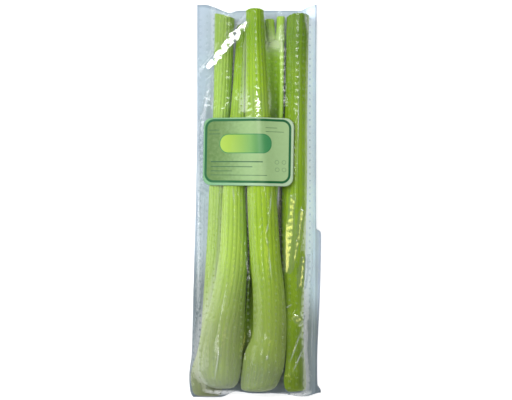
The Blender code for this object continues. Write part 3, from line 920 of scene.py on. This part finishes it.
def thin_sheet(name, points, columns, values, material, thickness):
    """A sheet through rows of points, facing up and thickened downwards to a closed shell."""
    grid = np.arange(len(points)).reshape(-1, columns)
    faces = np.stack([grid[:-1, :-1], grid[:-1, 1:], grid[1:, 1:], grid[1:, :-1]], axis=2).reshape(-1, 4)
    piece = mesh_piece(name, points, faces.tolist(), values, (material,))
    if sum(face.normal.z for face in piece.data.polygons) < 0:
        piece.data.flip_normals()
    shell = piece.modifiers.new("thickness", "SOLIDIFY")
    shell.thickness = thickness * MM
    shell.offset = -1.0
    return baked(piece)


# Punched holes

def lip_tree():
    """Geometry nodes that set the raised lip of a punched hole at each point."""
    tree, given = new_group("punched_lips", (
        ("Places", "Geometry"), ("Hole", "Float"), ("Lip", "Float"), ("Sides", "Int"),
        ("Material", "Material"),
    ), "Lips")
    circles = []
    for sides, radius in ((given["Sides"], given["Hole"]), (LIP_PROFILE_SIDES, given["Lip"])):
        inputs = {"Resolution": sides, "Radius": radius}
        circles.append(add_node(tree, "GeometryNodeCurvePrimitiveCircle", inputs).outputs[0])
    inputs = {"Curve": circles[0], "Profile Curve": circles[1]}
    ring = add_node(tree, "GeometryNodeCurveToMesh", inputs).outputs[0]
    lean = kept(tree, "lean", "FLOAT_VECTOR")
    turned = add_node(tree, "FunctionNodeAlignRotationToVector", {"Vector": lean}, axis="Z").outputs[0]
    inputs = {"Points": given["Places"], "Instance": ring, "Rotation": turned}
    placed = add_node(tree, "GeometryNodeInstanceOnPoints", inputs).outputs[0]
    real = add_node(tree, "GeometryNodeRealizeInstances", {"Geometry": placed}).outputs[0]
    coated = add_node(tree, "GeometryNodeSetMaterial", {"Geometry": real, "Material": given["Material"]})
    result = tree.nodes.new("NodeGroupOutput")
    tree.links.new(coated.outputs[0], result.inputs[0])
    return tree


def hole_places():
    """Where the holes are punched, as (X, Y), clear of the bag's edges and of the label."""
    places = []
    columns, rows = int(PUNCHED[0] / PUNCH_COLUMN) + 1, int(PUNCHED[1] / PUNCH_ROW) + 1
    covered_x, covered_y = LABEL_SIZE[0] / 2 + 1, LABEL_SIZE[1] / 2 + 1.5
    for i in range(-columns // 2, columns // 2 + 1):
        for j in range(-rows // 2, rows // 2 + 1):
            x = i * PUNCH_COLUMN
            y = (j + 0.5 * (i % 2)) * PUNCH_ROW
            inside = smooth(y, BAG_SIDES, 1) + 2 < x < smooth(y, BAG_SIDES, 2) - 2
            covered = abs(x - LABEL_CENTRE[0]) < covered_x and abs(y - LABEL_CENTRE[1]) < covered_y
            if inside and abs(y) < PUNCH_END and not covered:
                places.append((x, y))
    return np.array(places)


def lips_piece(film, material):
    """The lips of all the holes, each leaning as the film does there."""
    flat = hole_places()
    x, y = flat[:, 0], flat[:, 1]
    z = film_surface(film, x, y)[0]
    step = LIP_SLOPE_STEP
    rise_x = (film_surface(film, x + step, y)[0] - film_surface(film, x - step, y)[0]) / (2 * step)
    rise_y = (film_surface(film, x, y + step)[0] - film_surface(film, x, y - step)[0]) / (2 * step)
    normals = np.column_stack([-rise_x, -rise_y, np.ones(len(x))])
    normals /= np.linalg.norm(normals, axis=1, keepdims=True)
    mesh = bpy.data.meshes.new("punched_lips")
    mesh.from_pydata((np.column_stack([flat, z]) * MM).tolist(), [], [])
    layer = mesh.attributes.new("lean", "FLOAT_VECTOR", "POINT")
    layer.data.foreach_set("vector", normals.astype(np.float32).ravel())
    piece = new_object("punched_lips", mesh)
    modifier = piece.modifiers.new("lips", "NODES")
    modifier.node_group = lip_tree()
    set_inputs(modifier, {
        "Hole": PUNCH_RADIUS * MM, "Lip": LIP_RADIUS * MM, "Sides": LIP_SIDES, "Material": material,
    })
    baked(piece).data.shade_smooth()
    return piece


# Label

def label_piece(film, material):
    """A thin sheet with rounded corners that follows the film."""
    half = np.array(LABEL_SIZE) / 2
    turn = math.radians(LABEL_TURN)
    turned = np.array([[math.cos(turn), math.sin(turn)], [-math.sin(turn), math.cos(turn)]])
    printed = []
    for v in np.linspace(-half[1], half[1], LABEL_CELLS[1] + 1):
        for u in np.linspace(-half[0], half[0], LABEL_CELLS[0] + 1):
            corner = np.copysign(half - LABEL_CORNER, (u, v))
            out = np.array((u, v)) - corner
            if out[0] * corner[0] > 0 and out[1] * corner[1] > 0:
                printed.append(corner + out / np.linalg.norm(out) * np.abs(out).max())
            else:
                printed.append(np.array((u, v)))
    printed = np.array(printed)
    flat = printed @ turned + LABEL_CENTRE
    z = film.at(flat[:, 0], flat[:, 1]) + LABEL_ABOVE + LABEL_THICKNESS
    points = np.column_stack([flat, z])
    values = {"print_x": printed[:, 0], "print_y": printed[:, 1]}
    return thin_sheet("label_sheet", points, LABEL_CELLS[0] + 1, values, material, LABEL_THICKNESS)


# Finishes

def celery_skin(name, stops):
    """Moist ribbed skin: pale and greyish at the base, where its colours also hold painted shade, greener
    towards the top, with fibres and small specks.
    """
    material, tree, output = new_finish(name)
    across, along = measure(tree, "across"), measure(tree, "along")
    rib, outer = measure(tree, "rib"), measure(tree, "outer")
    here = tree.nodes.new("ShaderNodeTexCoord").outputs["Object"]
    lengthwise = {0: times(tree, across, 30.0), 1: times(tree, along, 9.0), 2: outer}
    fibre_place = add_node(tree, "ShaderNodeCombineXYZ", lengthwise).outputs[0]
    fibres = grain(tree, fibre_place, 1.0, 5.0, 0.65)
    broad = grain(tree, here, 28.0, 2.0)
    # The stops darken towards the base: partly the stalk's own tone, partly painted shade.
    colour = ramp(tree, along, [(place, linear(shade)) for place, shade in stops], "EASE")
    groove = times(tree, less(tree, 1.0, rib), outer)
    lined = times(tree, reach(tree, groove, 0.15, 0.9), reach(tree, along, 0.0, 0.4, 0.2, 0.5))
    specks = add_node(tree, "ShaderNodeTexVoronoi", {"Vector": here, "Scale": 70.0}).outputs["Distance"]
    rare = reach(tree, grain(tree, here, 45.0, 1.0), 0.68, 0.72)
    speck = times(tree, reach(tree, specks, 0.10, 0.04), rare)
    for share, tone in (
        (lined, GROOVE_GREEN),
        (reach(tree, fibres, 0.45, 0.75, 0.0, 0.3), FIBRE_PALE),
        (reach(tree, fibres, 0.45, 0.2, 0.0, 0.35), FIBRE_DARK),
        (reach(tree, broad, 0.35, 0.7, 0.0, 0.2), BLOTCH_GREEN),
        (times(tree, speck, 0.7), SPECK_BROWN),
        (times(tree, measure(tree, "pale"), 0.82), JOINT_FLESH),
    ):
        colour = tint(tree, share, colour, tone)
    roughness = reach(tree, fibres, 0.2, 0.8, 0.48, 0.62)
    relief = {"Height": fibres, "Strength": 0.25, "Distance": 0.0003}
    bump = add_node(tree, "ShaderNodeBump", relief).outputs[0]
    shader = add_node(tree, "ShaderNodeBsdfPrincipled", {
        "Base Color": colour, "Roughness": roughness, "Normal": bump, "Specular IOR Level": 0.22,
        "Subsurface Weight": 0.25, "Subsurface Radius": (0.9, 1.0, 0.35), "Subsurface Scale": 0.0022,
    })
    tree.links.new(shader.outputs[0], output.inputs[0])
    return material


def celery_cut():
    """Cut flesh: pale and wet, with the ends of the strings as small green dots."""
    material, tree, output = new_finish("celery_cut_flesh")
    here = tree.nodes.new("ShaderNodeTexCoord").outputs["Object"]
    pores = grain(tree, here, 900.0, 2.0)
    strings = add_node(tree, "ShaderNodeTexVoronoi", {"Vector": here, "Scale": 420.0}).outputs["Distance"]
    colour = tint(tree, reach(tree, pores, 0.3, 0.7), *CUT_FLESH)
    colour = tint(tree, reach(tree, strings, 0.3, 0.12, 0.0, 0.6), colour, CUT_STRINGS)
    shader = add_node(tree, "ShaderNodeBsdfPrincipled", {
        "Base Color": colour, "Roughness": 0.35, "Subsurface Weight": 0.3,
        "Subsurface Radius": (0.9, 1.0, 0.4), "Subsurface Scale": 0.002,
    })
    tree.links.new(shader.outputs[0], output.inputs[0])
    return material


def hole_distance(tree, x, y):
    """The distance in mm to the nearest punched hole, for places on the flat film."""
    nearest = None
    for shift in (0.0, 0.5):
        u = less(tree, reckon(tree, "DIVIDE", x, 2 * PUNCH_COLUMN), shift)
        v = less(tree, reckon(tree, "DIVIDE", y, PUNCH_ROW), shift)
        du = times(tree, less(tree, u, reckon(tree, "ROUND", u)), 2 * PUNCH_COLUMN)
        dv = times(tree, less(tree, v, reckon(tree, "ROUND", v)), PUNCH_ROW)
        apart = length_of(tree, du, dv)
        nearest = apart if nearest is None else reckon(tree, "MINIMUM", nearest, apart)
    return nearest


def front_film():
    """Clear glossy film: almost nothing but its shine, a little milky on its creases, where a painted
    highlight also runs along them, open at its holes.
    """
    material, tree, output = new_finish("clear_film_front")
    x, y, creased = measure(tree, "flat_x"), measure(tree, "flat_y"), measure(tree, "creased")
    clear = clear_shader(tree, (0.985, 0.992, 1.0))
    nearest = hole_distance(tree, x, y)
    gloss = {"Color": (*WHITE, 1.0), "Roughness": FILM_ROUGHNESS}
    shine = add_node(tree, "ShaderNodeBsdfAnisotropic", gloss).outputs[0]
    haze = add_node(tree, "ShaderNodeBsdfDiffuse", {"Color": (0.86, 0.91, 0.95, 1.0)}).outputs[0]
    facing = add_node(tree, "ShaderNodeLayerWeight", {"Blend": 0.28}).outputs["Facing"]
    layered = plus(tree, measure(tree, "layers"), times(tree, creased, 0.5))
    mirror = plus(tree, reach(tree, facing, 0.05, 1.0, *FILM_MIRROR), times(tree, layered, LAYER_MIRROR))
    solid = blend(tree, mirror, clear, shine)
    # Painted highlight: a pale diffuse line along the creases, partly their whitened film.
    milky = times(tree, reckon(tree, "POWER", creased, 3.0), CREASE_MILK_AND_HIGHLIGHT)
    solid = blend(tree, milky, solid, haze)
    hole = reach(tree, nearest, PUNCH_RADIUS * 0.9, PUNCH_RADIUS * 1.1)
    tree.links.new(blend(tree, hole, clear, solid), output.inputs[0])
    return material


def back_film():
    """The back of the bag: the same film seen against what it lies on, greyish blue, with painted light and
    shade: lighter on the right where the stalks' shadow falls, darker towards the bottom left, and dark
    green beneath the stalks, which shows as shade in the gaps between them.
    """
    material, tree, output = new_finish("clear_film_back")
    here = tree.nodes.new("ShaderNodeTexCoord").outputs["Object"]
    cloud = grain(tree, here, 30.0, 3.0)
    colour = tint(tree, reach(tree, cloud, 0.3, 0.7), *BACK_BLUES)
    x, y = add_node(tree, "ShaderNodeSeparateXYZ", {0: here}).outputs[:2]
    # Painted light: lighter on the right, where the stalks' shadow falls.
    right = reach(tree, x, *BACK_PAINTED_LIGHT_X)
    colour = tint(tree, right, colour, BACK_PAINTED_LIGHT_TINTS[0], "MULTIPLY")
    # Painted shade: darker towards the bottom left, where the light falls off.
    painted_lower_shade = reach(tree, plus(tree, y, times(tree, x, BACK_PAINTED_SHADE_SLANT)), *BACK_PAINTED_SHADE_Y, 0.0, 0.88)
    colour = tint(tree, painted_lower_shade, colour, BACK_PAINTED_SHADE_TONE)
    colour = tint(tree, right, colour, BACK_PAINTED_LIGHT_TINTS[1], "MULTIPLY")
    colour = tint(tree, reach(tree, x, *BACK_STRIP), colour, BACK_STRIP_TINT, "MULTIPLY")
    # Painted shade: dark green beneath the stalks, showing as shade in the gaps.
    under = times(tree, band(tree, x, *BACK_GAP_SHADE_AREA[0]), band(tree, y, *BACK_GAP_SHADE_AREA[1]))
    colour = tint(tree, times(tree, under, 0.96), colour, BACK_GAP_SHADE_TONE)
    clear = clear_shader(tree, (0.9, 0.95, 1.0))
    solid = add_node(tree, "ShaderNodeBsdfPrincipled", {"Base Color": colour, "Roughness": 0.25}).outputs[0]
    tree.links.new(blend(tree, BACK_SOLID, clear, solid), output.inputs[0])
    return material


def lip_film():
    """The raised lips round the holes, which catch the light: their pale colour is painted highlight,
    besides their real shine.
    """
    material, tree, output = new_finish("clear_film_lips")
    clear = clear_shader(tree, (0.98, 0.99, 1.0))
    inputs = {"Base Color": (0.90, 1.0, 0.84, 1.0), "Roughness": 0.3}
    shine = add_node(tree, "ShaderNodeBsdfPrincipled", inputs).outputs[0]
    tree.links.new(blend(tree, LIP_PALE_GLINT_SHARE, clear, shine), output.inputs[0])
    return material


def rounded_distance(tree, x, y, centre, half, corner):
    """The distance in mm inside a rounded rectangle's edge, below 0 outside it."""
    outs = []
    for value, middle, size in ((x, centre[0], half[0]), (y, centre[1], half[1])):
        apart = reckon(tree, "ABSOLUTE", less(tree, value, middle))
        outs.append(less(tree, apart, size - corner))
    outside = length_of(tree, *[reckon(tree, "MAXIMUM", out, 0.0) for out in outs])
    within = reckon(tree, "MINIMUM", reckon(tree, "MAXIMUM", *outs), 0.0)
    return less(tree, corner, plus(tree, outside, within))


def band(tree, value, low, high, soft=0.12):
    """1 between two limits and 0 outside them, with soft sides."""
    rise = reach(tree, value, low - soft, low + soft)
    return times(tree, rise, reach(tree, value, high + soft, high - soft))


def label_print():
    """The sticker's print: a pale margin, a dark line, a green ground and blank fields; margin and ground
    darken towards the left, partly as printed and partly as painted shade.
    """
    material, tree, output = new_finish("label_print")
    x, y = measure(tree, "print_x"), measure(tree, "print_y")
    half = LABEL_SIZE[0] / 2
    inside = rounded_distance(tree, x, y, *LABEL_LINE)
    place = add_node(tree, "ShaderNodeCombineXYZ", {0: x, 1: y}).outputs[0]
    mottle = grain(tree, place, 0.35, 3.0)
    across = plus(tree, reach(tree, x, -half, half), times(tree, less(tree, mottle, 0.5), 0.3))
    # Darker towards the left: partly printed, partly painted shade.
    ground = ramp(tree, across, [(place, linear(tone)) for place, tone in LABEL_GROUND_AND_SHADE])
    margin = tint(tree, reach(tree, x, -half, half), *map(linear, LABEL_MARGINS_AND_SHADE))
    colour = tint(tree, reach(tree, inside, -0.1, 0.1), margin, ground)
    colour = tint(tree, band(tree, inside, 0.0, LABEL_LINE_WIDTH), colour, linear(LABEL_INK))
    centre, size, corner = LABEL_PANEL
    panel = rounded_distance(tree, x, y, centre, size, corner)
    field = tint(tree, reach(tree, x, *LABEL_PANEL_FADE), *map(linear, LABEL_PANEL_FIELD))
    colour = tint(tree, reach(tree, panel, -0.1, 0.1), colour, field)
    colour = tint(tree, band(tree, panel, 0.0, LABEL_PANEL_LINE), colour, linear(LABEL_PANEL_INK))
    for left, right, level, thick in LABEL_RULES:
        rule = times(tree, band(tree, x, left, right), band(tree, y, level - thick, level + thick, 0.08))
        colour = tint(tree, rule, colour, linear(LABEL_RULE_INK))
    radius, thick = LABEL_CIRCLE
    for cx, cy in LABEL_CIRCLES:
        apart = length_of(tree, less(tree, x, cx), less(tree, y, cy))
        ring = band(tree, apart, radius - thick, radius + thick, 0.1)
        colour = tint(tree, times(tree, ring, 0.7), colour, linear(LABEL_CIRCLE_INK))
    shader = add_node(tree, "ShaderNodeBsdfPrincipled", {"Base Color": colour, "Roughness": 0.32})
    tree.links.new(shader.outputs[0], output.inputs[0])
    return material


def floor_finish():
    material, tree, output = new_finish("pale_floor")
    shader = add_node(tree, "ShaderNodeBsdfPrincipled", {
        "Base Color": (0.93, 0.93, 0.93, 1.0), "Roughness": 0.7,
        "Emission Color": (*WHITE, 1.0), "Emission Strength": 0.38,
    })
    tree.links.new(shader.outputs[0], output.inputs[0])
    return material


# Stage

def floor_piece():
    bpy.ops.mesh.primitive_plane_add(size=FLOOR_SIZE * MM, location=(0, 0, -FLOOR_DROP * MM))
    floor = bpy.context.object
    floor.name = "floor"
    floor.data.materials.append(floor_finish())


def set_camera():
    camera = bpy.data.cameras.new("camera")
    camera.lens = CAMERA_LENS
    camera.sensor_width = SENSOR
    holder = new_object("camera", camera)
    away = PIXEL * PICTURE_WIDTH / SENSOR * CAMERA_LENS + CAMERA_PLANE
    holder.location = Vector((*CAMERA_AIM, away)) * MM
    bpy.context.scene.camera = holder


def area_light(name, place, size, power, colour=WHITE):
    """A lamp that faces the middle of the bag's back."""
    light = bpy.data.lights.new(name, "AREA")
    light.shape = "RECTANGLE"
    light.size, light.size_y = size
    light.energy = power
    light.color = colour
    holder = new_object(name, light)
    holder.location = place
    facing = Vector((0, 0, 0)) - Vector(place)
    holder.rotation_euler = facing.to_track_quat("-Z", "Y").to_euler()
    return holder


def set_light():
    world = bpy.data.worlds.new("studio")
    world.use_nodes = True
    given = world.node_tree.nodes["Background"].inputs
    given["Color"].default_value, given["Strength"].default_value = WORLD_LIGHT
    bpy.context.scene.world = world
    for lamp in SOFT_LAMPS:
        area_light(*lamp).visible_glossy = False
    for lamp in GLARES:
        area_light(*lamp).visible_diffuse = False
    bpy.context.scene.view_settings.view_transform = "Standard"


def main():
    cut = celery_cut()
    for name, stalk in STALKS.items():
        skin = celery_skin(f"{name}_skin", stalk["skin"])
        finished(stalk_piece(f"{name}_flesh", stalk, skin, cut), name)
        if name == "stalk_channel_up":
            for seed, (side, (foot, tip, diameter)) in enumerate(STUBS.items()):
                stub = stub_piece(f"leaf_stem_stub_{side}", foot, tip, diameter, skin, cut, seed + 20)
                finished(stub, name)

    film = Film()

    def front_height(x, y):
        z, creased, layers = film_surface(film, x, y)
        return z, {"creased": creased, "layers": layers}

    def back_height(x, y):
        return BACK_HEIGHT + BACK_RIPPLE * noise_at(x * 0.07, y * 0.05, 5.0), {}

    finished(film_sheet("film_front", FILM_STEP, front_height, front_film()), "bag")
    finished(film_sheet("film_back", BACK_STEP, back_height, back_film()), "bag")
    finished(lips_piece(film, lip_film()), "bag")
    finished(label_piece(film, label_print()), "label")

    floor_piece()
    set_camera()
    set_light()


main()
